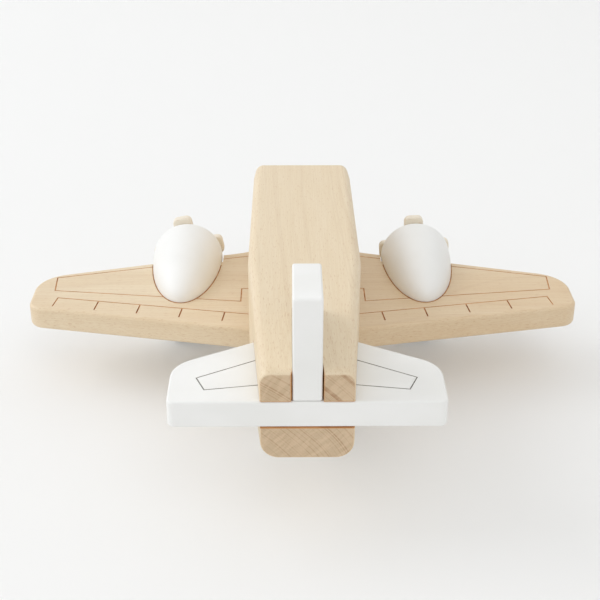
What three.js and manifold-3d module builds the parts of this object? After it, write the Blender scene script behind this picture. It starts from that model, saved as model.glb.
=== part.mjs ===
// Wooden toy twin-propeller aeroplane, in millimetres. The nose points along +Y, the right wing along +X,
// and +Z is up from the floor at Z = 0. The middle of the length lies at Y = 0.
// The body block, wing, fin and tailplane are glued boards; the propellers and the rollers turn.
import * as THREE from 'three';
import { mergeVertices } from 'three/addons/utils/BufferGeometryUtils.js';
import Module from 'manifold-3d';

const wasm = await Module();
wasm.setup();

// ---- driving dimensions ----
const length = 252;
const halfSpan = 142.3;
const board = 12; // wing, fin and tailplane are cut from boards of this thickness
const glueGap = 0.15; // free space left around a glued joint
const slotGap = 0.35; // looser fit of the fin in its slot
const runGap = 0.1; // radial clearance of a turning piece on its pin

const rollerRadius = 12;
const rollerWidth = 20;
const underside = 33; // height of the flat belly and of the wing's lower face
const wingTop = underside + board;

const bodyHalfWidth = 26.6;
const bodyTailHalfWidth = 19.2;
const bodyTaperEnd = 99; // distance from the tail end at which the sides become parallel
const bodyTop = 90;
const bodyTailTop = 86;
const bodyTailBottom = 45;
const roofStart = 60;
const roofEnd = 222;
const bellyStart = 66;
const bellyEnd = 232;
const noseTaperStart = 209;
const noseTaperReach = 48;
const windscreenFoot = { s: 235, z: 70 };
const noseTop = 60;
const noseBottom = 40;
const bodyEdge = 4.5;
const tailLowerEdge = 7.5;
const tailEndRound = 0.8;
const noseEndRound = 8;
const fullestRound = 0.95; // largest share of half the body's height that an edge round may take

const tailSlotBottom = 59.9;
const tailplaneTop = tailSlotBottom + board;
const tailplaneHalfSpan = 57.2;
const tailplaneChord = 51.5;
const finTop = 118.1;
const finRootChord = 48.5;
const finTipChord = 32.8;

const wingRootTrailing = 111; // distances from the tail end
const wingRootLeading = 204.3;
const wingTrailingSlope = 0.207;
const wingCentreLeading = 205.8; // straight across under the body
const rootFillet = 7;
const wingLeadingSlope = 0.293;
const wingEdge = 1.8;
const paintedEdge = 1;

const engineOffset = 63.5; // of each nacelle, propeller and main roller from the middle
const nacelleRadius = 19;
const nacelleWidest = 197;
const nacelleRear = 57.5;
const nacelleFront = 10;
const nacelleFace = 201.5;
const shoulder = 189; // the nacelle's step rests against the notch in the wing here

const bladeRadius = 19.6;
const propellerHeight = wingTop + 1.2;
const bladeWidth = 10.5;
const propellerThickness = 4.5;
const propellerLean = { left: 11, right: 3 }; // degrees at rest, seen from behind
const pinRadius = 2.7;
const pinHead = 4.6;

const axleRadius = 3;
const cheek = 4.75;
const sideGap = 0.75;
const legFoot = 7.5;
const mainLeg = { back: 25, front: 4.5 }; // reach of the glued top behind and ahead of the axle
const rearLeg = { back: 14, front: 14 };
const mainRoller = 183;
const rearRoller = 85;
const dowelRadius = 4;

const grooveWidth = 0.8;
const grooveDepth = 0.5;

// ---- materials ----
const beech = { color: 0xdcc3a1, roughness: 0.62, metalness: 0 };
const endPeg = { color: 0xcfae86, roughness: 0.6, metalness: 0 };
const whitePaint = { color: 0xf0efeb, roughness: 0.5, metalness: 0 };

const alongY = (s) => s - length / 2;

// ---- solids ----
function signedVolume(position, index) {
  const a = new THREE.Vector3();
  const b = new THREE.Vector3();
  const c = new THREE.Vector3();
  let sum = 0;
  for (let i = 0; i < index.length; i += 3) {
    a.fromBufferAttribute(position, index[i]);
    b.fromBufferAttribute(position, index[i + 1]);
    c.fromBufferAttribute(position, index[i + 2]);
    sum += a.dot(b.cross(c));
  }
  return sum;
}

function solid(geometry) {
  const bare = geometry.clone();
  bare.deleteAttribute('normal');
  bare.deleteAttribute('uv');
  const merged = mergeVertices(bare, 1e-4);
  const position = merged.getAttribute('position');
  const triVerts = Uint32Array.from(merged.getIndex().array);
  if (signedVolume(position, triVerts) < 0) {
    for (let i = 0; i < triVerts.length; i += 3) {
      [triVerts[i], triVerts[i + 1]] = [triVerts[i + 1], triVerts[i]];
    }
  }
  return new wasm.Manifold(new wasm.Mesh({ numProp: 3, vertProperties: position.array, triVerts }));
}

function toMesh(name, shape, look) {
  const data = shape.getMesh();
  const geometry = new THREE.BufferGeometry();
  geometry.setAttribute('position', new THREE.BufferAttribute(new Float32Array(data.vertProperties), 3));
  geometry.setIndex(new THREE.BufferAttribute(new Uint32Array(data.triVerts), 1));
  geometry.computeVertexNormals();
  const mesh = new THREE.Mesh(geometry, new THREE.MeshStandardMaterial(look));
  mesh.name = name;
  return mesh;
}

function box(x0, x1, y0, y1, z0, z1) {
  const geometry = new THREE.BoxGeometry(x1 - x0, y1 - y0, z1 - z0);
  geometry.translate((x0 + x1) / 2, (y0 + y1) / 2, (z0 + z1) / 2);
  return solid(geometry);
}

// A solid of revolution about Y from [radius, y] points that start and end on the axis.
function turned(points, segments = 24) {
  return solid(new THREE.LatheGeometry(points.map(([r, y]) => new THREE.Vector2(r, y)), segments));
}

// A peg along Y from y0 to y1 with chamfered ends.
function peg(radius, y0, y1, chamfer = 0) {
  return turned([[0, y0], [radius - chamfer, y0], [radius, y0 + chamfer],
    [radius, y1 - chamfer], [radius - chamfer, y1], [0, y1]]);
}

// A closed outline, counter-clockwise through corners [x, y, radius], each rounded to an arc.
function outline(corners) {
  const shape = new THREE.Shape();
  const count = corners.length;
  corners.forEach(([x, y, radius], i) => {
    const here = new THREE.Vector2(x, y);
    const before = new THREE.Vector2(...corners[(i + count - 1) % count]).sub(here).normalize();
    const after = new THREE.Vector2(...corners[(i + 1) % count]).sub(here).normalize();
    const half = Math.acos(THREE.MathUtils.clamp(before.dot(after), -1, 1)) / 2;
    const start = here.clone().addScaledVector(before, radius / Math.tan(half));
    const end = here.clone().addScaledVector(after, radius / Math.tan(half));
    if (i === 0) {
      shape.moveTo(start.x, start.y);
    } else {
      shape.lineTo(start.x, start.y);
    }
    if (radius > 0) {
      const centre = before.add(after).setLength(radius / Math.sin(half)).add(here);
      const hollow = start.clone().sub(centre).cross(end.clone().sub(centre)) < 0;
      shape.absarc(centre.x, centre.y, radius, Math.atan2(start.y - centre.y, start.x - centre.x),
        Math.atan2(end.y - centre.y, end.x - centre.x), hollow);
    }
  });
  shape.closePath();
  return shape;
}

// A board lying on Z = 0 with all its edges rounded.
function plate(shape, thickness, round) {
  const geometry = new THREE.ExtrudeGeometry(shape, {
    depth: thickness - 2 * round, bevelEnabled: true, bevelThickness: round, bevelSize: round,
    bevelOffset: -round, bevelSegments: 3, curveSegments: 3,
  });
  geometry.translate(0, 0, round);
  return geometry;
}

const mirrored = (half) => [...half, ...half.slice().reverse().map(([x, y, radius]) => [-x, y, radius])];

// ---- body block ----
function bodySection(s) {
  let inset = 0;
  if (s < tailEndRound) {
    inset = tailEndRound - Math.sqrt(tailEndRound ** 2 - (tailEndRound - s) ** 2);
  } else if (s > length - noseEndRound) {
    inset = noseEndRound - Math.sqrt(noseEndRound ** 2 - (s - length + noseEndRound) ** 2);
  }
  let halfWidth = bodyHalfWidth;
  if (s < bodyTaperEnd) {
    halfWidth = THREE.MathUtils.mapLinear(s, 0, bodyTaperEnd, bodyTailHalfWidth, bodyHalfWidth);
  } else if (s > noseTaperStart) {
    halfWidth *= Math.sqrt(1 - ((s - noseTaperStart) / noseTaperReach) ** 2);
  }
  let top = bodyTop;
  if (s < roofStart) {
    top = THREE.MathUtils.mapLinear(s, 0, roofStart, bodyTailTop, bodyTop);
  } else if (s > windscreenFoot.s) {
    top = THREE.MathUtils.mapLinear(s, windscreenFoot.s, length, windscreenFoot.z, noseTop);
  } else if (s > roofEnd) {
    top = THREE.MathUtils.mapLinear(s, roofEnd, windscreenFoot.s, bodyTop, windscreenFoot.z);
  }
  let bottom = underside;
  if (s < bellyStart) {
    bottom += (bodyTailBottom - underside) * (1 - s / bellyStart) ** 1.5;
  } else if (s > bellyEnd) {
    bottom += (noseBottom - underside) * ((s - bellyEnd) / (length - bellyEnd)) ** 2;
  }
  const lowerEdge = THREE.MathUtils.lerp(tailLowerEdge, bodyEdge, Math.min(1, s / bellyStart));
  const widestRound = fullestRound * (Math.min(halfWidth, (top - bottom) / 2) - inset);
  return {
    halfWidth: halfWidth - inset, top: top - inset, bottom: bottom + inset,
    upperEdge: Math.min(bodyEdge, widestRound),
    lowerEdge: Math.min(Math.max(lowerEdge - inset, 2), widestRound),
  };
}

function bodyStations() {
  const stations = [];
  for (let i = 0; i <= 4; i += 1) {
    stations.push(tailEndRound * (1 - Math.cos((i * Math.PI) / 8)));
  }
  for (let s = 10; s < bellyStart; s += 10) {
    stations.push(s);
  }
  stations.push(bellyStart, 82, bodyTaperEnd, noseTaperStart, 215, roofEnd, 225.5, 230,
    windscreenFoot.s, 239);
  for (let i = 0; i <= 5; i += 1) {
    stations.push(length - noseEndRound + noseEndRound * Math.sin((i * Math.PI) / 10));
  }
  return stations;
}

// The body is a cylinder whose rings are laid onto rounded rectangles along its length.
function bodyBlock() {
  const cornerSteps = 4;
  const perCorner = cornerSteps + 1;
  const around = 4 * perCorner;
  const stations = bodyStations();
  const geometry = new THREE.CylinderGeometry(1, 1, 1, around, stations.length - 1);
  const position = geometry.getAttribute('position');
  for (let v = 0; v < position.count; v += 1) {
    const x = position.getX(v);
    const z = position.getZ(v);
    const station = Math.round((position.getY(v) + 0.5) * (stations.length - 1));
    const section = bodySection(stations[station]);
    const y = alongY(stations[station]);
    if (Math.hypot(x, z) < 0.5) {
      position.setXYZ(v, 0, y, (section.top + section.bottom) / 2);
      continue;
    }
    const turn = Math.atan2(x, z) / (2 * Math.PI);
    const point = Math.round((turn < 0 ? turn + 1 : turn) * around) % around;
    const corner = Math.floor(point / perCorner);
    const angle = Math.PI / 2 - ((corner + (point % perCorner) / cornerSteps) * Math.PI) / 2;
    const upper = corner === 0 || corner === 3;
    const radius = upper ? section.upperEdge : section.lowerEdge;
    const side = corner < 2 ? 1 : -1;
    const centreX = side * (section.halfWidth - radius);
    const centreZ = upper ? section.top - radius : section.bottom + radius;
    position.setXYZ(v, centreX + radius * Math.cos(angle), y, centreZ + radius * Math.sin(angle));
  }
  return solid(geometry);
}

function fuselage() {
  const wide = 2 * bodyHalfWidth;
  const back = alongY(-1);
  return bodyBlock()
    .subtract(box(-wide, wide, alongY(wingRootTrailing) - glueGap, alongY(wingCentreLeading) + glueGap,
      0, wingTop + glueGap))
    .subtract(box(-wide, wide, back, alongY(tailplaneChord) + glueGap,
      tailSlotBottom - glueGap, tailplaneTop + glueGap))
    .subtract(box(-board / 2 - slotGap, board / 2 + slotGap, back, alongY(finRootChord) + slotGap,
      tailplaneTop, finTop))
    .subtract(wingDowelAt(0, glueGap))
    .subtract(wingDowelAt(1, glueGap))
    .subtract(legDowel(0, dowelPlace(rearRoller, rearLeg), glueGap));
}

// ---- boards ----
function grooves(lines, top) {
  const cuts = lines.flatMap((line) => line.slice(1).map((end, i) => {
    const start = line[i];
    const run = Math.hypot(end[0] - start[0], end[1] - start[1]);
    const geometry = new THREE.BoxGeometry(run + grooveWidth, grooveWidth, 2 * grooveDepth);
    geometry.rotateZ(Math.atan2(end[1] - start[1], end[0] - start[0]));
    geometry.translate((start[0] + end[0]) / 2, alongY((start[1] + end[1]) / 2), top);
    return solid(geometry);
  }));
  return wasm.Manifold.union(cuts);
}

const bothSides = (lines) => [...lines, ...lines.map((line) => line.map(([x, s]) => [-x, s]))];

// Panel and flap lines cut into the top of the wing: [x, distance from the tail end].
function wingLines() {
  const panelFront = (x) => 197.4 - 0.2655 * (x - bodyHalfWidth);
  const panelRear = (x) => 140.4 + 0.13 * (x - bodyHalfWidth);
  const flap = (x) => 126.6 + 0.189 * (x - bodyHalfWidth);
  const inner = 20;
  const step = 32.3;
  const tip = 132;
  const tickLength = 9.5;
  const flapEnd = 127.7;
  const ticks = [1, 2, 3, 4].map((i) => {
    const x = 18 + 22 * i;
    return [[x, flap(x)], [x + 1, flap(x) - tickLength]];
  });
  return bothSides([
    [[inner, panelFront(inner)], [tip, panelFront(tip)], [tip - 1.3, panelRear(tip)], [step, panelRear(step)],
      [step, panelRear(step) + 14.5], [inner, panelRear(step) + 15.3]],
    [[inner, flap(inner)], [flapEnd, flap(flapEnd)], [flapEnd + 1.3, flap(flapEnd) - tickLength]],
    ...ticks,
  ]);
}

function wing() {
  const trailing = wingRootTrailing + wingTrailingSlope * (halfSpan - bodyHalfWidth);
  const leading = wingRootLeading - wingLeadingSlope * (halfSpan - bodyHalfWidth);
  const half = [[bodyHalfWidth, wingRootTrailing, 0], [halfSpan - 0.5, trailing, 9], [halfSpan, leading, 19],
    [bodyHalfWidth + rootFillet, wingRootLeading - wingLeadingSlope * rootFillet, 12],
    [bodyHalfWidth, wingCentreLeading, 0]];
  const shape = outline(mirrored(half).map(([x, s, radius]) => [x, alongY(s), radius]));
  const geometry = plate(shape, board, wingEdge);
  geometry.translate(0, 0, underside);
  const reach = nacelleRadius + 0.6;
  const seats = [-1, 1].map((side) => box(side * engineOffset - reach, side * engineOffset + reach,
    alongY(shoulder), alongY(wingRootLeading), underside - 1, wingTop + 1));
  return solid(geometry)
    .subtract(wasm.Manifold.union(seats))
    .subtract(grooves(wingLines(), wingTop))
    .subtract(wingDowelAt(0, glueGap))
    .subtract(wingDowelAt(1, glueGap))
    .subtract(legDowel(engineOffset, dowelPlace(mainRoller, mainLeg), glueGap))
    .subtract(legDowel(-engineOffset, dowelPlace(mainRoller, mainLeg), glueGap));
}

function tailplane() {
  const half = [[tailplaneHalfSpan - 0.4, 0, 3], [tailplaneHalfSpan, 30, 15], [20, tailplaneChord, 0]];
  const shape = outline(mirrored(half).map(([x, s, radius]) => [x, alongY(s), radius]));
  const geometry = plate(shape, board, paintedEdge);
  geometry.translate(0, 0, tailSlotBottom);
  const lines = bothSides([[[15, 37.4], [45.8, 19], [42, 9.6], [15, 14.1]]]);
  return solid(geometry).subtract(grooves(lines, tailplaneTop));
}

function fin() {
  const foot = tailplaneTop + glueGap;
  const shape = outline([[0, foot, 0], [finRootChord, foot, 0], [finRootChord, bodyTop - 3, 4],
    [finTipChord, finTop, 2.5], [0, finTop, 1.5]]);
  const geometry = plate(shape, board, paintedEdge);
  // the outline's own axes become Y and Z, and the board's thickness runs along X
  geometry.applyMatrix4(new THREE.Matrix4().makeBasis(
    new THREE.Vector3(0, 1, 0), new THREE.Vector3(0, 0, 1), new THREE.Vector3(1, 0, 0)));
  geometry.translate(-board / 2, alongY(0), 0);
  return solid(geometry);
}

// ---- engines ----
function nacelle(side) {
  const points = [];
  for (let i = 0; i <= 12; i += 1) {
    const angle = (i * Math.PI) / 24;
    points.push([nacelleRadius * Math.sin(angle), nacelleWidest - nacelleRear * Math.cos(angle)]);
  }
  const steps = 5;
  const last = Math.asin((nacelleFace - nacelleWidest) / nacelleFront);
  for (let i = 1; i <= steps; i += 1) {
    const angle = (last * i) / steps;
    points.push([nacelleRadius * Math.cos(angle), nacelleWidest + nacelleFront * Math.sin(angle)]);
  }
  points[0][0] = 0;
  points.push([0, nacelleFace]);
  const bore = peg(pinRadius + 0.05, shoulder + 0.7, nacelleFace + 1)
    .translate([0, 0, propellerHeight - wingTop]);
  return turned(points, 40)
    .subtract(bore)
    .translate([side * engineOffset, -length / 2, wingTop])
    .subtract(box(side * engineOffset - 30, side * engineOffset + 30,
      alongY(0), alongY(shoulder) + glueGap, 0, wingTop + glueGap));
}

function propeller(side, lean) {
  const arm = (turn) => {
    const half = bladeWidth / 2;
    const shape = outline([[-half, -bladeRadius, 3], [half, -bladeRadius, 3],
      [half, bladeRadius, 3], [-half, bladeRadius, 3]]);
    const geometry = plate(shape, propellerThickness, 0.9);
    geometry.rotateX(Math.PI / 2);
    geometry.rotateY(turn);
    return solid(geometry);
  };
  const back = nacelleFace + 0.5;
  return arm(0).add(arm(Math.PI / 2))
    .subtract(peg(pinRadius + runGap, -propellerThickness - 1, 1))
    .rotate([0, -lean, 0])
    .translate([side * engineOffset, alongY(back + propellerThickness), propellerHeight]);
}

function propellerPin(side) {
  const headBack = nacelleFace + 0.5 + propellerThickness + 0.3;
  const points = [[0, shoulder + 1], [pinRadius, shoulder + 1], [pinRadius, headBack], [pinHead, headBack],
    [pinHead, headBack + 0.8]];
  for (let i = 1; i <= 5; i += 1) {
    const angle = (i * Math.PI) / 10;
    points.push([pinHead * Math.cos(angle), headBack + 0.8 + 2 * Math.sin(angle)]);
  }
  points[points.length - 1][0] = 0;
  return turned(points).translate([side * engineOffset, -length / 2, propellerHeight]);
}

// ---- running gear ----
// A leg is a forked block glued under the wing or belly, with a roller between its cheeks.
function leg(x, s, reach) {
  const width = rollerWidth + 2 * (sideGap + cheek);
  const head = underside - glueGap;
  const shape = new THREE.Shape();
  shape.moveTo(-reach.back, head);
  shape.lineTo(-reach.back, head - 6);
  shape.lineTo(-legFoot, rollerRadius);
  shape.absarc(0, rollerRadius, legFoot, Math.PI, 2 * Math.PI, false);
  shape.lineTo(reach.front, head - 8);
  shape.lineTo(reach.front, head);
  shape.closePath();
  const geometry = plate(shape, width, 1.2);
  geometry.applyMatrix4(new THREE.Matrix4().makeBasis(
    new THREE.Vector3(0, 1, 0), new THREE.Vector3(0, 0, 1), new THREE.Vector3(1, 0, 0)));
  geometry.translate(-width / 2, 0, 0);
  const slot = rollerWidth / 2 + sideGap;
  const long = 2 * length;
  return solid(geometry)
    .subtract(box(-slot, slot, -long, long, 0, 2 * rollerRadius + 1.2))
    .subtract(acrossX(peg(axleRadius + 0.05, -width, width)).translate([0, 0, rollerRadius]))
    .translate([x, alongY(s), 0])
    .subtract(legDowel(x, dowelPlace(s, reach), glueGap));
}

const acrossX = (shape) => shape.rotate([0, 0, -90]);

function roller(x, s) {
  const half = rollerWidth / 2;
  const round = 2;
  const points = [[axleRadius + runGap, -half]];
  for (let i = 0; i <= 4; i += 1) {
    const angle = (i * Math.PI) / 8;
    points.push([rollerRadius - round + round * Math.sin(angle), -half + round - round * Math.cos(angle)]);
  }
  for (let i = 0; i <= 4; i += 1) {
    const angle = (i * Math.PI) / 8;
    points.push([rollerRadius - round + round * Math.cos(angle), half - round + round * Math.sin(angle)]);
  }
  points.push([axleRadius + runGap, half], [axleRadius + runGap, -half]);
  return acrossX(turned(points, 40)).translate([x, alongY(s), rollerRadius]);
}

function axle(x, s) {
  const half = rollerWidth / 2 + sideGap + cheek - 0.3;
  return acrossX(peg(axleRadius, -half, half, 0.5)).translate([x, alongY(s), rollerRadius]);
}

// ---- dowels ----
const upright = (shape) => shape.rotate([90, 0, 0]);

const dowelPlace = (s, reach) => s + (reach.front - reach.back) / 2;

// Holds a leg to the board above it; a positive gap gives the hole it sits in.
function legDowel(x, s, gap) {
  const low = 2 * rollerRadius + 1.4;
  return upright(peg(dowelRadius + gap, low - (gap > 0 ? 2 : 0), underside + 8 + gap, gap > 0 ? 0 : 0.4))
    .translate([x, alongY(s), 0]);
}

// Holds the wing up into the body block, near the trailing edge (0) and the leading edge (1).
function wingDowelAt(which, gap) {
  const s = which === 0 ? wingRootTrailing + 18 : wingRootLeading - 18;
  const low = underside + (gap > 0 ? -2 : 0.2);
  return upright(peg(dowelRadius + gap, low, wingTop + 14 + gap, gap > 0 ? 0 : 0.4))
    .translate([0, alongY(s), 0]);
}

// ---- assembly ----
const plane = new THREE.Group();
plane.name = 'toy_aeroplane';
plane.add(
  toMesh('fuselage', fuselage(), beech),
  toMesh('wing', wing(), beech),
  toMesh('tailplane', tailplane(), whitePaint),
  toMesh('fin', fin(), whitePaint),
  toMesh('wing_dowel_rear', wingDowelAt(0, 0), endPeg),
  toMesh('wing_dowel_front', wingDowelAt(1, 0), endPeg),
);
for (const [label, side] of [['left', -1], ['right', 1]]) {
  plane.add(
    toMesh(`nacelle_${label}`, nacelle(side), whitePaint),
    toMesh(`propeller_${label}`, propeller(side, propellerLean[label]), beech),
    toMesh(`propeller_pin_${label}`, propellerPin(side), endPeg),
  );
}
for (const [label, x, s, reach] of [['left', -engineOffset, mainRoller, mainLeg],
  ['right', engineOffset, mainRoller, mainLeg], ['rear', 0, rearRoller, rearLeg]]) {
  plane.add(
    toMesh(`leg_${label}`, leg(x, s, reach), whitePaint),
    toMesh(`roller_${label}`, roller(x, s), whitePaint),
    toMesh(`axle_${label}`, axle(x, s), endPeg),
    toMesh(`leg_dowel_${label}`, legDowel(x, dowelPlace(s, reach), 0), endPeg),
  );
}

export default plane;
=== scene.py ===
"""Looks for a wooden toy aeroplane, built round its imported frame.

Lengths are millimetres unless a comment says otherwise. Places along the body, named s, are distances
forward from the tail end.
"""
import math

import bmesh
import bpy
from mathutils import Matrix, Vector


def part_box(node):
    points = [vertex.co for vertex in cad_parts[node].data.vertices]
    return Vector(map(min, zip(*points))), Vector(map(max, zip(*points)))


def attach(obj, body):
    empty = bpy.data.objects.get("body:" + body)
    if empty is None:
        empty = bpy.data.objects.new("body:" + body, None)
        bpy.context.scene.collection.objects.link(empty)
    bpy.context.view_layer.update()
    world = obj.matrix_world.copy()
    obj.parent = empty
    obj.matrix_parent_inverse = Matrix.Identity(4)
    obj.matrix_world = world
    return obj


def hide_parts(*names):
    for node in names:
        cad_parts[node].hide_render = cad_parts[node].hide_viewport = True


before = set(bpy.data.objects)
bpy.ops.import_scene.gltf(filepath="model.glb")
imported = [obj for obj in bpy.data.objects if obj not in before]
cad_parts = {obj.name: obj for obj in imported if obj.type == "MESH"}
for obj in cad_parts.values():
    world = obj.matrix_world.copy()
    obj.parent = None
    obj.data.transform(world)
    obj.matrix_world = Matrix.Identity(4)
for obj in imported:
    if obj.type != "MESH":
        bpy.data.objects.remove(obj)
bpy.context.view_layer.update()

MM = 0.001


def extent(node):
    """Lowest and highest corner of a CAD node, in millimetres."""
    low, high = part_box(node)
    return low / MM, high / MM


BODY_LOW, BODY_HIGH = extent("fuselage")
WING_LOW, WING_HIGH = extent("wing")
TAIL_LOW, TAIL_HIGH = extent("tailplane")
FIN_LOW, FIN_HIGH = extent("fin")
LENGTH = BODY_HIGH.y - BODY_LOW.y
SIDES = {"left": -1, "right": 1}
GLUE_GAP = 0.15
PAST = 5  # how far a cutting shape reaches past the piece it cuts


def ahead(distance):
    """Y of a place this far ahead of the tail end."""
    return BODY_LOW.y + distance


# ---------------------------------------------------------------- driving dimensions

WING_ROOT_BACK = 111
WING_ROOT_FRONT = 204.3
WING_CENTRE_FRONT = 205.8
ROOT_FILLET = 7
WING_TIP_ROUND = 19
WING_EDGE = 1.8
BACK_SLOPE = 0.207
FRONT_SLOPE = 0.293
POD_LOW, POD_HIGH = extent("nacelle_right")
ENGINE_X = (POD_LOW.x + POD_HIGH.x) / 2
NACELLE_RADIUS = (POD_HIGH.x - POD_LOW.x) / 2
NACELLE_WIDEST = 197
NACELLE_REAR = 57.5
NACELLE_FRONT = 10
FIN_TIP_CHORD = 32.8
SHOULDER = 189  # the wing board is cut back to here under each nacelle
PIN_RADIUS = 2.7
BLADE = 10.5
BLADE_REACH = 19.6
LEAN = {"left": 11, "right": 3}  # degrees that each propeller is turned at rest
LEG_FRONT = {"left": 4.5, "right": 4.5, "rear": 14}  # how far each leg's top reaches ahead of its axle


# ---------------------------------------------------------------- outlines

def rounded(corners, step=6.0):
    """A closed outline through corners (x, y, radius), with each corner turned into an arc."""
    points = []
    count = len(corners)
    for i, (x, y, radius) in enumerate(corners):
        here = Vector((x, y))
        if radius <= 0:
            points.append(here)
            continue
        before = (Vector(corners[i - 1][:2]) - here).normalized()
        after = (Vector(corners[(i + 1) % count][:2]) - here).normalized()
        half = before.angle(after) / 2
        centre = here + (before + after).normalized() * radius / math.sin(half)
        start = here + before * radius / math.tan(half) - centre
        sweep = math.pi - 2 * half
        if before.x * after.y - before.y * after.x > 0:
            sweep = -sweep
        steps = max(2, round(abs(math.degrees(sweep)) / step))
        for k in range(steps + 1):
            points.append(centre + Matrix.Rotation(sweep * k / steps, 2) @ start)
    return points


def mirrored(half):
    """Corners on the right, from back to front, joined to their mirror images."""
    return half + [(-x, y, radius) for x, y, radius in reversed(half)]


def curve_through(points, blend):
    """Points of an open line whose inner corners are rounded over the distances in blend."""
    line = [points[0]]
    for i in range(1, len(points) - 1):
        here = Vector(points[i])
        before = Vector(points[i - 1]) - here
        after = Vector(points[i + 1]) - here
        start = here + before.normalized() * blend[i - 1]
        end = here + after.normalized() * blend[i - 1]
        for k in range(7):
            t = k / 6
            line.append(tuple(start * (1 - t) ** 2 + here * 2 * t * (1 - t) + end * t ** 2))
    line.append(points[-1])
    return line


def value_on(line, place):
    """Height of an open line at a place along it."""
    for (x0, y0), (x1, y1) in zip(line, line[1:]):
        if x0 <= place <= x1:
            return y0 if x1 == x0 else y0 + (y1 - y0) * (place - x0) / (x1 - x0)
    return line[-1][1]


# ---------------------------------------------------------------- solids

UPRIGHT = Matrix(((0, 0, 1, 0), (1, 0, 0, 0), (0, 1, 0, 0), (0, 0, 0, 1)))  # outline x, y become Y, Z


def plate(outline, low, high, edge=0.0, segments=5, matrix=None):
    """A board with this outline between two heights, its upper and lower edges rounded."""
    bm = bmesh.new()
    face = bm.faces.new([bm.verts.new((p.x, p.y, low)) for p in outline])
    grown = bmesh.ops.extrude_face_region(bm, geom=[face])
    top = [v for v in grown["geom"] if isinstance(v, bmesh.types.BMVert)]
    bmesh.ops.translate(bm, verts=top, vec=(0, 0, high - low))
    bmesh.ops.recalc_face_normals(bm, faces=bm.faces)
    if edge:
        rims = [e for e in bm.edges if abs(e.verts[0].co.z - e.verts[1].co.z) < 1e-6]
        bmesh.ops.bevel(bm, geom=rims, offset=edge, segments=segments, profile=0.5,
                        affect="EDGES", clamp_overlap=False)
    if matrix:
        bmesh.ops.transform(bm, matrix=matrix, verts=bm.verts)
        bmesh.ops.recalc_face_normals(bm, faces=bm.faces)
    return bm


def block(low, high):
    """A plain box between two corners, used only to cut."""
    corners = [Vector((low[0], low[1])), Vector((high[0], low[1])),
               Vector((high[0], high[1])), Vector((low[0], high[1]))]
    return plate(corners, low[2], high[2])


def turned(profile, axis, centre, segments=96):
    """A piece turned about a line along axis through centre, from points (radius, place along the axis)."""
    bm = bmesh.new()
    turn = Vector((0, 0, 1)).rotation_difference(Vector(axis)).to_matrix()
    rings = []
    for radius, place in profile:
        if radius < 1e-6:
            rings.append([bm.verts.new((0, 0, place))])
            continue
        ring = []
        for k in range(segments):
            angle = 2 * math.pi * k / segments
            ring.append(bm.verts.new((radius * math.cos(angle), radius * math.sin(angle), place)))
        rings.append(ring)
    if len(rings[0]) > 1 and len(rings[-1]) > 1:
        rings.append(rings[0])
    for a, b in zip(rings, rings[1:]):
        for k in range(segments):
            after = (k + 1) % segments
            corners = [a[k % len(a)], a[after % len(a)], b[after % len(b)], b[k % len(b)]]
            bm.faces.new(list(dict.fromkeys(corners)))
    bmesh.ops.transform(bm, matrix=turn.to_4x4(), verts=bm.verts)
    bmesh.ops.translate(bm, vec=centre, verts=bm.verts)
    bmesh.ops.recalc_face_normals(bm, faces=bm.faces)
    return bm


def arc(centre, radius, start, end, steps):
    """Points of an arc between two angles in degrees."""
    angles = [math.radians(start + (end - start) * k / steps) for k in range(steps + 1)]
    return [(centre[0] + radius * math.cos(a), centre[1] + radius * math.sin(a)) for a in angles]


def rod(radius, low, high, round_off, axis, centre, segments=64):
    """A dowel along axis, from low to high measured along it, with rounded ends."""
    profile = [(0, low)]
    profile += arc((radius - round_off, low + round_off), round_off, -90, 0, 5)
    profile += arc((radius - round_off, high - round_off), round_off, 0, 90, 5)
    profile.append((0, high))
    return turned(profile, axis, centre, segments)


def groove_cutter(lines, top, width=0.75, depth=0.45):
    """Closed strips that cut grooves with slanting walls along flat lines of points."""
    bm = bmesh.new()
    for line in lines:
        sections = []
        for i, (x, y) in enumerate(line):
            here = Vector((x, y))
            before = (here - Vector(line[i - 1])).normalized() if i else None
            after = (Vector(line[i + 1]) - here).normalized() if i + 1 < len(line) else None
            heading = ((before or after) + (after or before)).normalized()
            across = Vector((-heading.y, heading.x)) / max(0.5, heading.dot(before or after))
            rims = [(width, 0.3), (-width, 0.3), (-width * 0.6, -depth), (width * 0.6, -depth)]
            sections.append([bm.verts.new((x + across.x * w / 2, y + across.y * w / 2, top + dz))
                             for w, dz in rims])
        for a, b in zip(sections, sections[1:]):
            for k in range(4):
                bm.faces.new((a[k], a[(k + 1) % 4], b[(k + 1) % 4], b[k]))
        bm.faces.new(sections[0])
        bm.faces.new(sections[-1][::-1])
    bmesh.ops.recalc_face_normals(bm, faces=bm.faces)
    return bm


def to_object(name, bm, material):
    """A new object with this mesh and material."""
    mesh = bpy.data.meshes.new(name)
    bm.to_mesh(mesh)
    bm.free()
    mesh.materials.append(material)
    made = bpy.data.objects.new(name, mesh)
    bpy.context.scene.collection.objects.link(made)
    return made


def bake(thing):
    """Applies a piece's modifiers."""
    graph = bpy.context.evaluated_depsgraph_get()
    mesh = bpy.data.meshes.new_from_object(thing.evaluated_get(graph))
    thing.modifiers.clear()
    thing.data = mesh


def carve(thing, cutter, material):
    """Cuts a closed shape out of a piece. The new faces take the given material."""
    tool = to_object("cutter", cutter, material)
    modifier = thing.modifiers.new("cut", "BOOLEAN")
    modifier.operation = "DIFFERENCE"
    modifier.solver = "EXACT"
    modifier.material_mode = "TRANSFER"
    modifier.object = tool
    bake(thing)
    bpy.data.objects.remove(tool)


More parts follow.
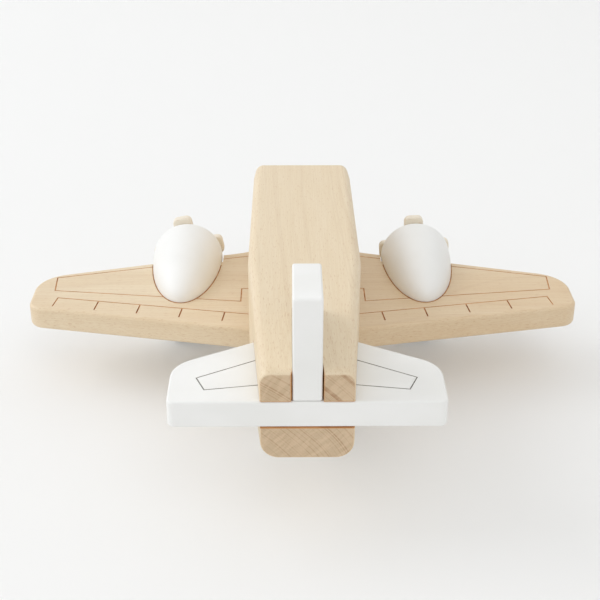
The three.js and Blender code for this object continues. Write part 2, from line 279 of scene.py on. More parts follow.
def soften(thing, width, segments=2, angle=50):
    """Rounds a piece's sharp edges slightly."""
    modifier = thing.modifiers.new("soft", "BEVEL")
    modifier.width = width
    modifier.segments = segments
    modifier.limit_method = "ANGLE"
    modifier.angle_limit = math.radians(angle)
    modifier.use_clamp_overlap = True
    bake(thing)


def settle(thing, body, slot, *nodes):
    """Brings a finished piece to metres, shades it, and puts it in the place of its CAD nodes."""
    thing.data.transform(Matrix.Scale(MM, 4))
    thing.data.shade_smooth()
    thing.data.set_sharp_from_angle(angle=math.radians(40))
    weighted = thing.modifiers.new("normals", "WEIGHTED_NORMAL")
    weighted.keep_sharp = True
    weighted.weight = 80
    bake(thing)
    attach(thing, body)
    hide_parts(*nodes)


# ---------------------------------------------------------------- materials

def colour(red, green, blue):
    """A display colour of 0 to 255 as the linear colour that the nodes use."""
    def linear(value):
        value /= 255
        return value / 12.92 if value <= 0.04045 else ((value + 0.055) / 1.055) ** 2.4
    return linear(red), linear(green), linear(blue), 1.0


class Graph:
    """The node tree of one material, with short calls for the nodes used here."""

    def __init__(self, name):
        self.material = bpy.data.materials.new(name)
        self.material.use_nodes = True
        self.tree = self.material.node_tree
        self.surface = self.tree.nodes["Principled BSDF"]

    def feed(self, socket, value):
        if isinstance(value, bpy.types.NodeSocket):
            self.tree.links.new(value, socket)
        else:
            socket.default_value = value

    def node(self, kind, inputs, **settings):
        made = self.tree.nodes.new("ShaderNode" + kind)
        for key, value in settings.items():
            setattr(made, key, value)
        for key, value in inputs.items():
            self.feed(made.inputs[key], value)
        return made

    def maths(self, operation, first, second=0.0):
        return self.node("Math", {0: first, 1: second}, operation=operation).outputs[0]

    def vector(self, operation, first, second=(0, 0, 0)):
        return self.node("VectorMath", {0: first, 1: second}, operation=operation).outputs["Vector"]

    def noise(self, point, stretch, detail=2.0, roughness=0.5, output="Fac"):
        """Noise whose grains are 1 / stretch long along each axis of point."""
        where = self.vector("MULTIPLY", point, stretch)
        inputs = {"Vector": where, "Scale": 1.0, "Detail": detail, "Roughness": roughness}
        return self.node("TexNoise", inputs).outputs[output]

    def rise(self, value, low, high):
        """0 below low, 1 above high, smooth in between."""
        inputs = {"Value": value, "From Min": low, "From Max": high}
        return self.node("MapRange", inputs, interpolation_type="SMOOTHSTEP").outputs["Result"]

    def blend(self, share, first, second, kind="MIX"):
        """The first colour where share is 0, the second where it is 1."""
        inputs = {0: share, 6: first, 7: second}
        made = self.node("Mix", inputs, data_type="RGBA", blend_type=kind, clamp_factor=True)
        return made.outputs[2]

    def finish(self, tint, roughness, height, depth_mm, shine):
        """Joins the surface's inputs and returns the material."""
        bump = self.node("Bump", {"Strength": 1.0, "Distance": depth_mm * MM, "Height": height})
        self.feed(self.surface.inputs["Base Color"], tint)
        self.feed(self.surface.inputs["Roughness"], roughness)
        self.feed(self.surface.inputs["Specular IOR Level"], shine)
        self.feed(self.surface.inputs["Normal"], bump.outputs["Normal"])
        return self.material


GRAIN_ORDER = {"x": (1, 2, 0), "y": (0, 2, 1), "z": (0, 1, 2)}


def grain_point(g, grain, shift):
    """Object coordinates in millimetres turned so that the third runs along the grain, and how square
    the surface is to the grain."""
    source = g.node("TexCoord", {})
    point = g.node("SeparateXYZ", {0: source.outputs["Object"]})
    order = GRAIN_ORDER[grain]
    parts = {k: point.outputs[axis] for k, axis in enumerate(order)}
    metres = g.node("CombineXYZ", parts).outputs[0]
    scaled = g.node("VectorMath", {0: metres, "Scale": 1 / MM}, operation="SCALE").outputs["Vector"]
    normal = g.node("SeparateXYZ", {0: source.outputs["Normal"]}).outputs[order[2]]
    return g.vector("ADD", scaled, shift), g.maths("ABSOLUTE", normal)


def edge_share(g, radius, low, high):
    """1 on edges sharper than radius in millimetres, 0 on flat and gently curved places."""
    corner = g.node("Bevel", {"Radius": radius * MM}, samples=4).outputs["Normal"]
    flat = g.node("NewGeometry", {}).outputs["Normal"]
    turn = g.node("VectorMath", {0: corner, 1: flat}, operation="DOT_PRODUCT").outputs["Value"]
    return g.rise(g.maths("SUBTRACT", 1.0, turn), low, high)


def growth_rings(g, point, heart, ring):
    """Dark late-wood lines round a heart line, and the rays that run out from it."""
    wander = g.noise(point, (0.016, 0.016, 0.004), 1.0, output="Color")
    wander = g.vector("SUBTRACT", wander, (0.5, 0.5, 0.5))
    bent = g.vector("ADD", point, g.vector("MULTIPLY", wander, (16, 16, 0)))
    spot = g.node("SeparateXYZ", {0: bent})
    right = g.maths("SUBTRACT", spot.outputs[0], heart[0])
    up = g.maths("SUBTRACT", spot.outputs[1], heart[1])
    distance = g.maths("SQRT", g.maths("ADD", g.maths("MULTIPLY", right, right), g.maths("MULTIPLY", up, up)))
    inputs = {"W": g.maths("DIVIDE", distance, ring * 3), "Detail": 1.0}
    uneven = g.node("TexNoise", inputs, noise_dimensions="1D")
    turns = g.maths("ADD", g.maths("DIVIDE", distance, ring), g.maths("MULTIPLY", uneven.outputs["Fac"], 3.0))
    phase = g.maths("FRACT", turns)
    year = g.node("TexWhiteNoise", {"W": g.maths("FLOOR", turns)}, noise_dimensions="1D").outputs["Value"]
    late = g.maths("SUBTRACT", g.rise(phase, 0.7, 0.93), g.rise(phase, 0.93, 1.0))
    late = g.maths("MULTIPLY", late, g.maths("ADD", g.maths("MULTIPLY", year, 0.8), 0.2))
    around = g.maths("MULTIPLY", g.maths("ARCTAN2", up, right), 100.0)
    place = g.node("CombineXYZ", {0: around, 1: g.maths("MULTIPLY", distance, 0.09), 2: 0.0}).outputs[0]
    return late, g.rise(g.noise(place, (1.1, 1, 1), 2.0), 0.42, 0.62)


def beech(name, grain, heart, shift=(0, 0, 0), ring=4.2, light=(231, 214, 185), mid=(220, 198, 163),
          end_depth=1.0, scorch=0.8, drift=0.0):
    """Solid beech under satin oil: growth rings round a heart line, fibres and short dark flecks along the
    grain, darker end grain crossed by rays, and edges toasted by the sander.

    heart is the heart line's place across the grain, shift moves the whole pattern, and ring is the width of
    a year. The colour runs from light to mid with the streaks, and drift darkens the board towards one end.
    """
    g = Graph(name)
    point, square = grain_point(g, grain, shift)
    late, ray = growth_rings(g, point, heart, ring)
    fibre = g.noise(point, (1.5, 1.5, 0.03), 4.0, 0.6)
    fine = g.noise(point, (5.0, 5.0, 0.12), 2.0, 0.6)
    cloud = g.noise(point, (0.05, 0.05, 0.006), 2.0)
    fleck = g.rise(g.noise(point, (2.2, 2.2, 0.28), 1.0), 0.6, 0.72)
    end = g.maths("MULTIPLY", g.rise(square, 0.8, 0.96), end_depth)
    side = g.maths("SUBTRACT", 1.0, end)
    along = g.node("SeparateXYZ", {0: g.vector("SUBTRACT", point, shift)}).outputs[2]
    streak = g.maths("ADD", g.maths("MULTIPLY", g.rise(fibre, 0.3, 0.72), 0.4),
                     g.maths("MULTIPLY", g.rise(cloud, 0.35, 0.65), 0.25))
    streak = g.maths("ADD", streak, g.maths("MULTIPLY", g.rise(along, -90.0, 90.0), drift))
    tint = g.blend(streak, colour(*light), colour(*mid))
    tint = g.blend(g.maths("MULTIPLY", late, g.maths("ADD", g.maths("MULTIPLY", end, 0.75), 0.1)), tint,
                   colour(176, 132, 90))
    tint = g.blend(g.maths("MULTIPLY", g.maths("MULTIPLY", fleck, side), 0.3), tint, colour(186, 136, 88))
    tint = g.blend(g.maths("MULTIPLY", g.rise(fine, 0.55, 0.8), 0.16), tint, colour(196, 156, 112))
    tint = g.blend(end, tint, g.blend(1.0, tint, colour(224, 214, 205), "MULTIPLY"))
    tint = g.blend(g.maths("MULTIPLY", g.maths("MULTIPLY", ray, end), 0.34), tint, colour(226, 200, 168))
    edge = g.maths("MULTIPLY", edge_share(g, 0.8, 0.008, 0.06), g.rise(square, 0.15, 0.5))
    tint = g.blend(g.maths("MULTIPLY", edge, scorch), tint, colour(206, 146, 82))
    roughness = g.maths("ADD", g.maths("MULTIPLY", fibre, 0.16), 0.36)
    height = g.maths("SUBTRACT", g.maths("MULTIPLY", fibre, 0.6), g.maths("MULTIPLY", fleck, 0.5))
    height = g.maths("ADD", height, g.maths("MULTIPLY", fine, 0.5))
    return g.finish(tint, roughness, height, 0.015, 0.5)


def burnt_line(name, grain, pale, dark):
    """The scorched floor and walls of an engraved line."""
    g = Graph(name)
    point, _ = grain_point(g, grain, (0, 0, 0))
    patch = g.rise(g.noise(point, (0.25, 0.25, 0.12), 3.0), 0.3, 0.7)
    speck = g.noise(point, (4.0, 4.0, 2.0), 2.0)
    tint = g.blend(patch, colour(*pale), colour(*dark))
    return g.finish(tint, 0.8, speck, 0.05, 0.15)


PAINT_TONE = (241, 241, 239)


def satin_paint(name, grain):
    """Sprayed white paint, slightly uneven, with the wood's grain just showing through it."""
    g = Graph(name)
    point, square = grain_point(g, grain, (0, 0, 0))
    cloud = g.rise(g.noise(point, (0.05, 0.05, 0.03), 2.0), 0.3, 0.7)
    spray = g.noise(point, (1.3, 1.3, 1.3), 2.0)
    fibre = g.noise(point, (1.8, 1.8, 0.05), 2.0)
    edge = edge_share(g, 0.9, 0.02, 0.25)
    red, green, blue = PAINT_TONE
    tint = g.blend(cloud, colour(red, green, blue), colour(red - 4, green - 4, blue - 5))
    across = g.maths("MULTIPLY", g.rise(square, 0.6, 0.95), 0.35)
    tint = g.blend(across, tint, colour(red - 5, green - 5, blue - 6))
    tint = g.blend(g.maths("MULTIPLY", edge, 0.25), tint, colour(red - 14, green - 19, blue - 28))
    roughness = g.maths("ADD", g.maths("MULTIPLY", spray, 0.15), 0.36)
    height = g.maths("ADD", g.maths("MULTIPLY", spray, 0.7), g.maths("MULTIPLY", fibre, 0.4))
    return g.finish(tint, roughness, height, 0.018, 0.45)


BODY_WOOD = beech("body_beech", "y", (-170, -110), ring=3.3)
WING_WOOD = beech("wing_beech", "x", (20, -150), (0, 0, 400), ring=3.4, mid=(217, 191, 155),
                  end_depth=0.15, scorch=0.3, drift=0.45)
BURNT = burnt_line("burnt_line", "x", (220, 172, 126), (192, 138, 92))
DEEP_BURNT = burnt_line("deep_burnt_line", "x", (188, 132, 88), (150, 94, 56))
# Sawn slot walls and the tail step. They are coloured darker than the body so that they also paint the shade
# in the gaps round the tailplane and fin.
SAWN_AND_SHADED = burnt_line("sawn_beech_painted_shade", "x", (214, 162, 112), (192, 136, 86))
PAINT = satin_paint("white_paint", "x")
PAINT_ALONG = satin_paint("white_paint_along", "y")
ETCHED = burnt_line("etched_paint", "x", (176, 174, 170), (150, 147, 142))
PROP_WOOD = beech("propeller_beech", "x", (30, -60), (7, 3, 90), ring=2.6, light=(239, 231, 215),
                  mid=(232, 220, 197), end_depth=0.1, scorch=0.1)


def dowel_beech(name, grain):
    """Darker, closer-grained beech for the dowels and pins."""
    return beech(name, grain, (-14, 9), (3, 0, 40), 1.6, (222, 196, 158), (208, 176, 136), scorch=0.2)


DOWEL_WOOD = dowel_beech("dowel_beech", "y")
CROSS_DOWEL = dowel_beech("cross_dowel_beech", "x")
UPRIGHT_DOWEL = dowel_beech("upright_dowel_beech", "z")


# ---------------------------------------------------------------- body block

TAPER_END = 99
TAIL_HALF_WIDTH = 19.2
NOSE_TAPER = 209
NOSE_REACH = 48
TAIL_ROUND = 0.8
NOSE_ROUND = 8
BELLY_START = 66
BELLY_END = 232
TAIL_RISE = 12  # how far the underside climbs to the tail end
NOSE_RISE = 7  # how far it climbs to the nose
BODY_EDGE = 4.5
TAIL_LOWER_EDGE = 7.5
TIGHTEST_EDGE = 2
FULLEST_EDGE = 0.95  # largest share of half the height that an edge's radius may take
FIN_GAP = 0.1
ROOF_END = 222

ROOF = curve_through([(0, 84.4), (2.4, 86.1), (60, BODY_HIGH.z), (ROOF_END, BODY_HIGH.z),
                      (235, 70), (LENGTH, 60)], [1.6, 25, 1.8, 7])


def body_section(s):
    """Half width, top, bottom, upper edge radius and lower edge radius of the body at s."""
    inset = 0.0
    if s < TAIL_ROUND:
        inset = TAIL_ROUND - math.sqrt(max(0, TAIL_ROUND ** 2 - (TAIL_ROUND - s) ** 2))
    elif s > LENGTH - NOSE_ROUND:
        inset = NOSE_ROUND - math.sqrt(max(0, NOSE_ROUND ** 2 - (s - LENGTH + NOSE_ROUND) ** 2))
    half = BODY_HIGH.x
    if s < TAPER_END:
        t = s / TAPER_END
        half = TAIL_HALF_WIDTH + (BODY_HIGH.x - TAIL_HALF_WIDTH) * t
    elif s > NOSE_TAPER:
        half = BODY_HIGH.x * math.sqrt(1 - ((s - NOSE_TAPER) / NOSE_REACH) ** 2)
    bottom = BODY_LOW.z
    if s < BELLY_START:
        bottom += TAIL_RISE * (1 - s / BELLY_START) ** 1.5
    elif s > BELLY_END:
        bottom += NOSE_RISE * ((s - BELLY_END) / (LENGTH - BELLY_END)) ** 2
    lower = TAIL_LOWER_EDGE + (BODY_EDGE - TAIL_LOWER_EDGE) * min(1, s / BELLY_START)
    half -= inset
    top = value_on(ROOF, s) - inset
    bottom += inset
    widest = FULLEST_EDGE * min(half, (top - bottom) / 2)
    return half, top, bottom, min(BODY_EDGE, widest), min(max(TIGHTEST_EDGE, lower - inset), widest)


def body_stations():
    """Distances from the tail end at which the body's section is set, closer together where it curves."""
    places = [TAIL_ROUND * (1 - math.cos(math.radians(a))) for a in range(0, 91, 15)]
    places += [s for s, _ in ROOF if TAIL_ROUND < s < 6]
    places += list(range(6, 96, 6)) + [TAPER_END] + list(range(110, 205, 12)) + [NOSE_TAPER]
    places += [s for s, _ in ROOF if ROOF_END - 10 < s < LENGTH - NOSE_ROUND]
    places += [LENGTH - NOSE_ROUND + NOSE_ROUND * math.sin(math.radians(a)) for a in range(0, 91, 9)]
    places = sorted(set(round(s, 3) for s in places))
    return [s for i, s in enumerate(places) if i == 0 or s - places[i - 1] > 0.02]


def body_loft():
    """The body before it is cut: rounded rectangles joined from the tail end to the nose."""
    bm = bmesh.new()
    steps = 9
    rings = []
    for s in body_stations():
        half, top, bottom, upper, lower = body_section(s)
        ring = []
        for corner, (sx, sz) in enumerate(((1, 1), (1, -1), (-1, -1), (-1, 1))):
            radius = upper if sz > 0 else lower
            centre_x = sx * (half - radius)
            centre_z = top - radius if sz > 0 else bottom + radius
            for k in range(steps + 1):
                angle = math.radians(90 - 90 * (corner + k / steps))
                place = (centre_x + radius * math.cos(angle), ahead(s), centre_z + radius * math.sin(angle))
                ring.append(bm.verts.new(place))
        rings.append(ring)
    count = len(rings[0])
    for a, b in zip(rings, rings[1:]):
        for k in range(count):
            bm.faces.new((a[k], a[(k + 1) % count], b[(k + 1) % count], b[k]))
    bm.faces.new(rings[0])
    bm.faces.new(rings[-1][::-1])
    bmesh.ops.recalc_face_normals(bm, faces=bm.faces)
    return bm


def flare_outline(side, run, slot, start):
    """The small flare where one wall of the fin's slot opens out over the last few millimetres."""
    flare = 0.5
    return [Vector((side * (slot - 1), ahead(run))), Vector((side * (slot - 1), start)),
            Vector((side * (slot + flare), start)), Vector((side * (slot + flare), ahead(0.4))),
            Vector((side * slot, ahead(run)))]


def make_body():
    """The body block, with its seat for the wing and its sawn slots for the tailplane and the fin."""
    body = to_object("body_block", body_loft(), BODY_WOOD)
    wide = 2 * BODY_HIGH.x
    start = BODY_LOW.y - PAST
    root_back = ahead(WING_ROOT_BACK) - GLUE_GAP
    root_front = ahead(WING_CENTRE_FRONT) + GLUE_GAP
    carve(body, block((-wide, root_back, 0), (wide, root_front, WING_HIGH.z + GLUE_GAP)), BODY_WOOD)
    floor = TAIL_LOW.z - GLUE_GAP
    carve(body, block((-wide, start, floor), (wide, TAIL_HIGH.y + GLUE_GAP, TAIL_HIGH.z + GLUE_GAP)), SAWN_AND_SHADED)
    # The step's darker sawn faces paint the shade line under the tailplane at the tail end.
    lip = TAIL_LOW.z - 0.45  # a thin step under the tailplane, at the tail end only
    carve(body, block((-wide, start, lip), (wide, ahead(0.6), TAIL_LOW.z)), SAWN_AND_SHADED)
    slot = FIN_HIGH.x + FIN_GAP
    carve(body, block((-slot, start, TAIL_HIGH.z), (slot, FIN_HIGH.y + FIN_GAP, FIN_HIGH.z + PAST)), SAWN_AND_SHADED)
    for side, run in ((-1, 1.5), (1, 7)):
        carve(body, plate(flare_outline(side, run, slot, start), TAIL_HIGH.z, FIN_HIGH.z), SAWN_AND_SHADED)
    soften(body, 0.25)
    settle(body, "airframe", "beech", "fuselage")


# ---------------------------------------------------------------- wing

def both_sides(lines):
    """Lines and their mirror images."""
    return lines + [[(-x, y) for x, y in line] for line in lines]


def wing_lines():
    """Engraved panel and flap lines on the right of the wing, as (x, distance from the tail end)."""
    def front(x):
        return 197.4 - 0.2655 * (x - BODY_HIGH.x)

    def rear(x):
        return 140.4 + 0.13 * (x - BODY_HIGH.x)

    def flap(x):
        return 126.6 + 0.189 * (x - BODY_HIGH.x)

    inner = 20
    step = 32.3
    tip = 132
    flap_end = 127.7
    tick = 9.5
    panel = [(inner, front(inner)), (tip, front(tip)), (tip - 1.3, rear(tip)), (step, rear(step)),
             (step, rear(step) + 14.5), (inner, rear(step) + 15.3)]
    hinge = [(inner, flap(inner)), (flap_end, flap(flap_end)), (flap_end + 1.3, flap(flap_end) - tick)]
    ticks = [[(x, flap(x) + 0.1), (x + 1, flap(x) - tick)] for x in range(40, 107, 22)]
    return [panel, hinge], ticks


def set_ahead(lines):
    """Lines with their distances from the tail end turned into Y."""
    return [[(x, ahead(s)) for x, s in line] for line in lines]


def nacelle_outline(side):
    """The burnt outline that the nacelle is glued down to."""
    across = NACELLE_RADIUS + 0.15
    back = NACELLE_REAR + 0.3
    angles = [math.radians(-180 + 6 * k) for k in range(31)]
    return [(side * ENGINE_X + across * math.cos(a), ahead(NACELLE_WIDEST + back * math.sin(a)))
            for a in angles if NACELLE_WIDEST + NACELLE_REAR * math.sin(a) < SHOULDER - 1.5]


def make_wing():
    """One tapered board, cut back in front where the nacelles sit, with burnt lines and two dowel holes."""
    tip_back = WING_ROOT_BACK + BACK_SLOPE * (WING_HIGH.x - BODY_HIGH.x)
    tip_front = WING_ROOT_FRONT - FRONT_SLOPE * (WING_HIGH.x - BODY_HIGH.x)
    half = [(BODY_HIGH.x, ahead(WING_ROOT_BACK), 0), (WING_HIGH.x - 0.5, ahead(tip_back), 9),
            (WING_HIGH.x, ahead(tip_front), WING_TIP_ROUND),
            (BODY_HIGH.x + ROOT_FILLET, ahead(WING_ROOT_FRONT - FRONT_SLOPE * ROOT_FILLET), 12),
            (BODY_HIGH.x, ahead(WING_CENTRE_FRONT), 0)]
    board = plate(rounded(mirrored(half)), WING_LOW.z, WING_HIGH.z, WING_EDGE)
    wing = to_object("wing_board", board, WING_WOOD)
    reach = NACELLE_RADIUS + 0.6
    for side in SIDES.values():
        middle = side * ENGINE_X
        seat = block((middle - reach, ahead(SHOULDER), 0),
                     (middle + reach, ahead(WING_CENTRE_FRONT), BODY_HIGH.z))
        carve(wing, seat, WING_WOOD)
    long_lines, ticks = wing_lines()
    carve(wing, groove_cutter(both_sides(set_ahead(long_lines)), WING_HIGH.z), BURNT)
    carve(wing, groove_cutter(both_sides(set_ahead(ticks)), WING_HIGH.z, 0.85), DEEP_BURNT)
    carve(wing, groove_cutter([nacelle_outline(side) for side in SIDES.values()], WING_HIGH.z, 0.9), BURNT)
    for node in ("wing_dowel_rear", "wing_dowel_front"):
        low, high = extent(node)
        centre = ((low.x + high.x) / 2, (low.y + high.y) / 2, 0)
        hole = rod((high.x - low.x) / 2 + GLUE_GAP, 0, high.z + PAST, 0.2, (0, 0, 1), centre)
        carve(wing, hole, WING_WOOD)
    settle(wing, "airframe", "beech", "wing")


# ---------------------------------------------------------------- tail

def make_tailplane():
    """A white board across the tail with the elevators' outlines etched into it."""
    half = [(TAIL_HIGH.x - 0.3, TAIL_LOW.y, 3), (TAIL_HIGH.x, TAIL_LOW.y + 30, 15), (20, TAIL_HIGH.y, 0)]
    outline = rounded(mirrored(half))
    tail = to_object("tailplane_board", plate(outline, TAIL_LOW.z, TAIL_HIGH.z, 1), PAINT)
    line = [(14, 37.9), (45.8, 19), (42, 9.6), (14, 14.2)]
    carve(tail, groove_cutter(both_sides(set_ahead([line])), TAIL_HIGH.z, 0.65, 0.4), ETCHED)
    settle(tail, "airframe", "white_paint", "tailplane")


def make_fin():
    """An upright white board with a sloping front."""
    back, foot, top = FIN_LOW.y, FIN_LOW.z, FIN_HIGH.z
    shape = rounded([(back, foot, 1), (FIN_HIGH.y, foot, 1), (FIN_HIGH.y, BODY_HIGH.z - 3, 4),
                     (back + FIN_TIP_CHORD, top, 2.5), (back, top, 1.5)])
    fin = to_object("fin_board", plate(shape, FIN_LOW.x, FIN_HIGH.x, 1, 5, UPRIGHT), PAINT)
    settle(fin, "airframe", "white_paint", "fin")


# ---------------------------------------------------------------- engines

def make_nacelle(label):
    """A pod turned to an egg shape, long behind its widest place, blunt in front, and seated on the wing."""
    low, high = extent("nacelle_" + label)
    middle = ((low.x + high.x) / 2, BODY_LOW.y, WING_HIGH.z)
    radius = (high.x - low.x) / 2
    face = high.y - BODY_LOW.y
    lip = 0.6
    profile = [(0, NACELLE_WIDEST - NACELLE_REAR)]
    for k in range(1, 37):
        angle = math.radians(2.5 * k)
        profile.append((radius * math.sin(angle), NACELLE_WIDEST - NACELLE_REAR * math.cos(angle)))
    last = math.asin((face - lip - NACELLE_WIDEST) / NACELLE_FRONT)
    for k in range(1, 13):
        angle = last * k / 12
        profile.append((radius * math.cos(angle), NACELLE_WIDEST + NACELLE_FRONT * math.sin(angle)))
    profile += arc((radius * math.cos(last) - lip, face - lip), lip, 25, 90, 4)
    profile.append((0, face))
    pod = to_object("nacelle_pod_" + label, turned(profile, (0, 1, 0), middle, 128), PAINT_ALONG)
    seat = block((low.x - PAST, low.y - PAST, 0),
                 (high.x + PAST, ahead(SHOULDER) + GLUE_GAP, WING_HIGH.z + GLUE_GAP))
    carve(pod, seat, PAINT_ALONG)
    pin_low, pin_high = extent("propeller_pin_" + label)
    bore = rod(PIN_RADIUS + 0.05, pin_low.y - 1, pin_high.y + PAST, 0.2, (0, 1, 0),
               (middle[0], 0, (pin_low.z + pin_high.z) / 2))
    carve(pod, bore, PAINT_ALONG)
    soften(pod, 0.35)
    settle(pod, "airframe", "white_paint", "nacelle_" + label)


def make_propeller(label):
    """Two crossed blades cut from one board, turned a little at rest."""
    low, high = extent("propeller_" + label)
    middle = Vector(((low.x + high.x) / 2, 0, (low.z + high.z) / 2))
    half = BLADE / 2
    blade = ((half, -half, 1.2), (BLADE_REACH, -half, 3), (BLADE_REACH, half, 3))
    corners = []
    for k in range(4):
        turn = Matrix.Rotation(math.radians(90 * k), 2)
        for x, y, radius in blade:
            spot = turn @ Vector((x, y))
            corners.append((spot.x, spot.y, radius))
    bm = plate(rounded(corners), -high.y, -low.y, 0.9)
    matrix = Matrix.Rotation(math.radians(-LEAN[label]), 4, "Y") @ Matrix.Rotation(math.radians(90), 4, "X")
    bmesh.ops.transform(bm, matrix=Matrix.Translation(middle) @ matrix, verts=bm.verts)
    bmesh.ops.recalc_face_normals(bm, faces=bm.faces)
    cross = to_object("propeller_cross_" + label, bm, PROP_WOOD)
    bore = rod(PIN_RADIUS + 0.1, low.y - 3, high.y + 3, 0.2, (0, 1, 0), (middle.x, 0, middle.z))
    carve(cross, bore, PROP_WOOD)
    settle(cross, label + "_propeller", "beech", "propeller_" + label)


def make_pin(label):
    """The pin that a propeller turns on, with a domed head in front."""
    low, high = extent("propeller_pin_" + label)
    middle = ((low.x + high.x) / 2, 0, (low.z + high.z) / 2)
    head = (high.x - low.x) / 2
    dome = 2
    rim = 0.4
    back = high.y - dome - 2 * rim
    profile = [(0, low.y), (PIN_RADIUS - 0.3, low.y), (PIN_RADIUS, low.y + 0.3), (PIN_RADIUS, back)]
    profile += arc((head - rim, back + rim), rim, -90, 0, 4)
    for k in range(1, 17):
        angle = math.radians(90 * k / 16)
        profile.append((head * math.cos(angle), back + 2 * rim + dome * math.sin(angle)))
    profile[-1] = (0, high.y)
    pin = to_object("hub_pin_" + label, turned(profile, (0, 1, 0), middle, 64), DOWEL_WOOD)
    settle(pin, "airframe", "dowel", "propeller_pin_" + label)


# ---------------------------------------------------------------- running gear

def make_leg(label):
    """A forked block: wide where it is glued on, tapering to a half round at the axle."""
    low, high = extent("leg_" + label)
    axle_low, axle_high = extent("axle_" + label)
    roller_low, roller_high = extent("roller_" + label)
    middle = (axle_low + axle_high) / 2
    foot = middle.z - low.z
    front = middle.y + LEG_FRONT[label]
    outline = [Vector((low.y, high.z)), Vector((low.y, high.z - 6))]
    outline += [Vector(p) for p in arc((middle.y, middle.z), foot, 180, 360, 24)]
    outline += [Vector((front, high.z - 8)), Vector((front, high.z))]
    leg = to_object("fork_leg_" + label, plate(outline, low.x, high.x, 1.2, 4, UPRIGHT), PAINT)
    side_gap = 0.75
    carve(leg, block((roller_low.x - side_gap, low.y - PAST, -PAST),
                     (roller_high.x + side_gap, high.y + PAST, roller_high.z + 1.2)), PAINT)
    bore = (axle_high.z - axle_low.z) / 2 + 0.05
    carve(leg, rod(bore, low.x - PAST, high.x + PAST, 0.2, (1, 0, 0), (0, middle.y, middle.z)), PAINT)
    soften(leg, 0.4)
    settle(leg, "airframe", "white_paint", "leg_" + label)


def make_roller(label):
    """A plain roller with rounded rims and a bore for its axle."""
    low, high = extent("roller_" + label)
    middle = ((low.x + high.x) / 2, (low.y + high.y) / 2, (low.z + high.z) / 2)
    radius = (high.z - low.z) / 2
    half = (high.x - low.x) / 2
    axle_low, axle_high = extent("axle_" + label)
    bore = (axle_high.z - axle_low.z) / 2 + 0.1
    rim = 2
    lip = 0.4
    profile = [(bore, half - lip), (bore, -half + lip), (bore + lip, -half)]
    profile += arc((radius - rim, -half + rim), rim, -90, 0, 8)
    profile += arc((radius - rim, half - rim), rim, 0, 90, 8)
    profile.append((bore + lip, half))
    roller = to_object("roller_wheel_" + label, turned(profile, (1, 0, 0), middle, 128), PAINT)
    settle(roller, label + "_roller", "white_paint", "roller_" + label)


def make_dowel(node, name, axis, material):
    """A dowel with rounded ends in the place of a CAD node."""
    low, high = extent(node)
    centre = [(a + b) / 2 for a, b in zip(low, high)]
    index = "xyz".index(axis)
    centre[index] = 0
    direction = [0, 0, 0]
    direction[index] = 1
    radius = min(b - a for a, b in zip(low, high)) / 2
    dowel = to_object(name, rod(radius, low[index], high[index], 0.5, direction, centre), material)
    settle(dowel, "airframe", "dowel", node)


# ---------------------------------------------------------------- stage, light and camera

BRIGHT_SIDE = (-0.75, 0.25, 0.6)
ROOM_DIM = 0.64
ROOM_BRIGHT = 0.92
CAMERA_PLACE = (-7.2, -519.8, 319.0)
CAMERA_DOWN = 27.07  # degrees, as are the next two
CAMERA_RIGHT = 0.6
CAMERA_ROLL = 0.105


def lit_paper(name, tone, glow):
    """Matt pale paper that also glows a little, like a sheet lit from below."""
    g = Graph(name)
    g.feed(g.surface.inputs["Emission Color"], (1, 1, 1, 1))
    g.feed(g.surface.inputs["Emission Strength"], glow)
    place = g.node("TexCoord", {}).outputs["Object"]
    return g.finish(colour(*tone), 0.9, g.noise(place, (40, 40, 40)), 0.01, 0.1)


def make_floor():
    """A pale sheet that curves up in front of the nose."""
    reach = 4000
    bend = 1300
    radius = 200
    rise = 3200
    profile = [(-reach, 0)] + arc((bend, radius), radius, -90, 0, 15) + [(bend + radius, rise)]
    bm = bmesh.new()
    rows = [[bm.verts.new((x, y, z)) for x in (-reach, reach)] for y, z in profile]
    for a, b in zip(rows, rows[1:]):
        bm.faces.new((a[0], a[1], b[1], b[0]))
    floor = to_object("floor", bm, lit_paper("paper", (228, 228, 227), 0.12))
    floor.data.transform(Matrix.Scale(MM, 4))
    floor.data.shade_smooth()


def soft_lamp(name, place, size, power, tint):
    """A large round lamp pointed at the object. Place and size are in metres."""
    lamp = bpy.data.lights.new(name, "AREA")
    lamp.color = tint
    lamp.shape = "DISK"
    lamp.size = size
    lamp.energy = power
    holder = bpy.data.objects.new(name, lamp)
    bpy.context.scene.collection.objects.link(holder)
    holder.location = place
    holder.rotation_euler = (Vector((0, 0, 0.04)) - holder.location).to_track_quat("-Z", "Y").to_euler()


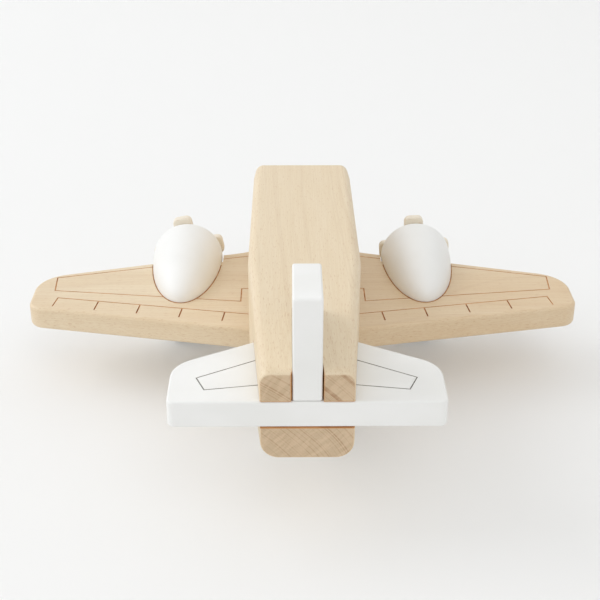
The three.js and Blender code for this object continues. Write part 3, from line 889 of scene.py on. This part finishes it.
def make_light():
    """A pale room, brighter on the left, with a soft lamp on the left and a weak one behind the camera."""
    world = bpy.data.worlds.new("studio")
    bpy.context.scene.world = world
    world.use_nodes = True
    tree = world.node_tree
    place = tree.nodes.new("ShaderNodeTexCoord")
    lean = tree.nodes.new("ShaderNodeVectorMath")
    lean.operation = "DOT_PRODUCT"
    lean.inputs[1].default_value = BRIGHT_SIDE
    tree.links.new(place.outputs["Generated"], lean.inputs[0])
    level = tree.nodes.new("ShaderNodeMapRange")
    level.inputs["From Min"].default_value = -1
    level.inputs["From Max"].default_value = 1
    level.inputs["To Min"].default_value = ROOM_DIM
    level.inputs["To Max"].default_value = ROOM_BRIGHT
    tree.links.new(lean.outputs["Value"], level.inputs["Value"])
    tree.links.new(level.outputs["Result"], tree.nodes["Background"].inputs["Strength"])
    tree.nodes["Background"].inputs["Color"].default_value = (1, 1, 1, 1)
    soft_lamp("key", (-3.2, 0.6, 2.1), 2.6, 44, (0.975, 1, 1.045))
    soft_lamp("fill", (0.9, -2.4, 3.2), 2.5, 15, (1, 1, 1))


def make_camera():
    """Behind and above the tail, looking forward along the body."""
    data = bpy.data.cameras.new("camera")
    data.lens = 69.5
    data.sensor_width = 36
    camera = bpy.data.objects.new("camera", data)
    bpy.context.scene.collection.objects.link(camera)
    turn = Matrix.Rotation(math.radians(-CAMERA_RIGHT), 4, "Z")
    turn = turn @ Matrix.Rotation(math.radians(90 - CAMERA_DOWN), 4, "X")
    turn = turn @ Matrix.Rotation(math.radians(CAMERA_ROLL), 4, "Z")
    camera.matrix_world = Matrix.Translation(Vector(CAMERA_PLACE) * MM) @ turn
    bpy.context.scene.camera = camera


make_body()
make_wing()
make_tailplane()
make_fin()
for side_name in SIDES:
    make_nacelle(side_name)
    make_propeller(side_name)
    make_pin(side_name)
for gear in ("left", "right", "rear"):
    make_leg(gear)
    make_roller(gear)
    make_dowel("axle_" + gear, "axle_rod_" + gear, "x", CROSS_DOWEL)
    make_dowel("leg_dowel_" + gear, "leg_peg_" + gear, "z", UPRIGHT_DOWEL)
make_dowel("wing_dowel_rear", "wing_peg_rear", "z", UPRIGHT_DOWEL)
make_dowel("wing_dowel_front", "wing_peg_front", "z", UPRIGHT_DOWEL)
make_floor()
make_light()
make_camera()
bpy.context.scene.view_settings.view_transform = "Standard"
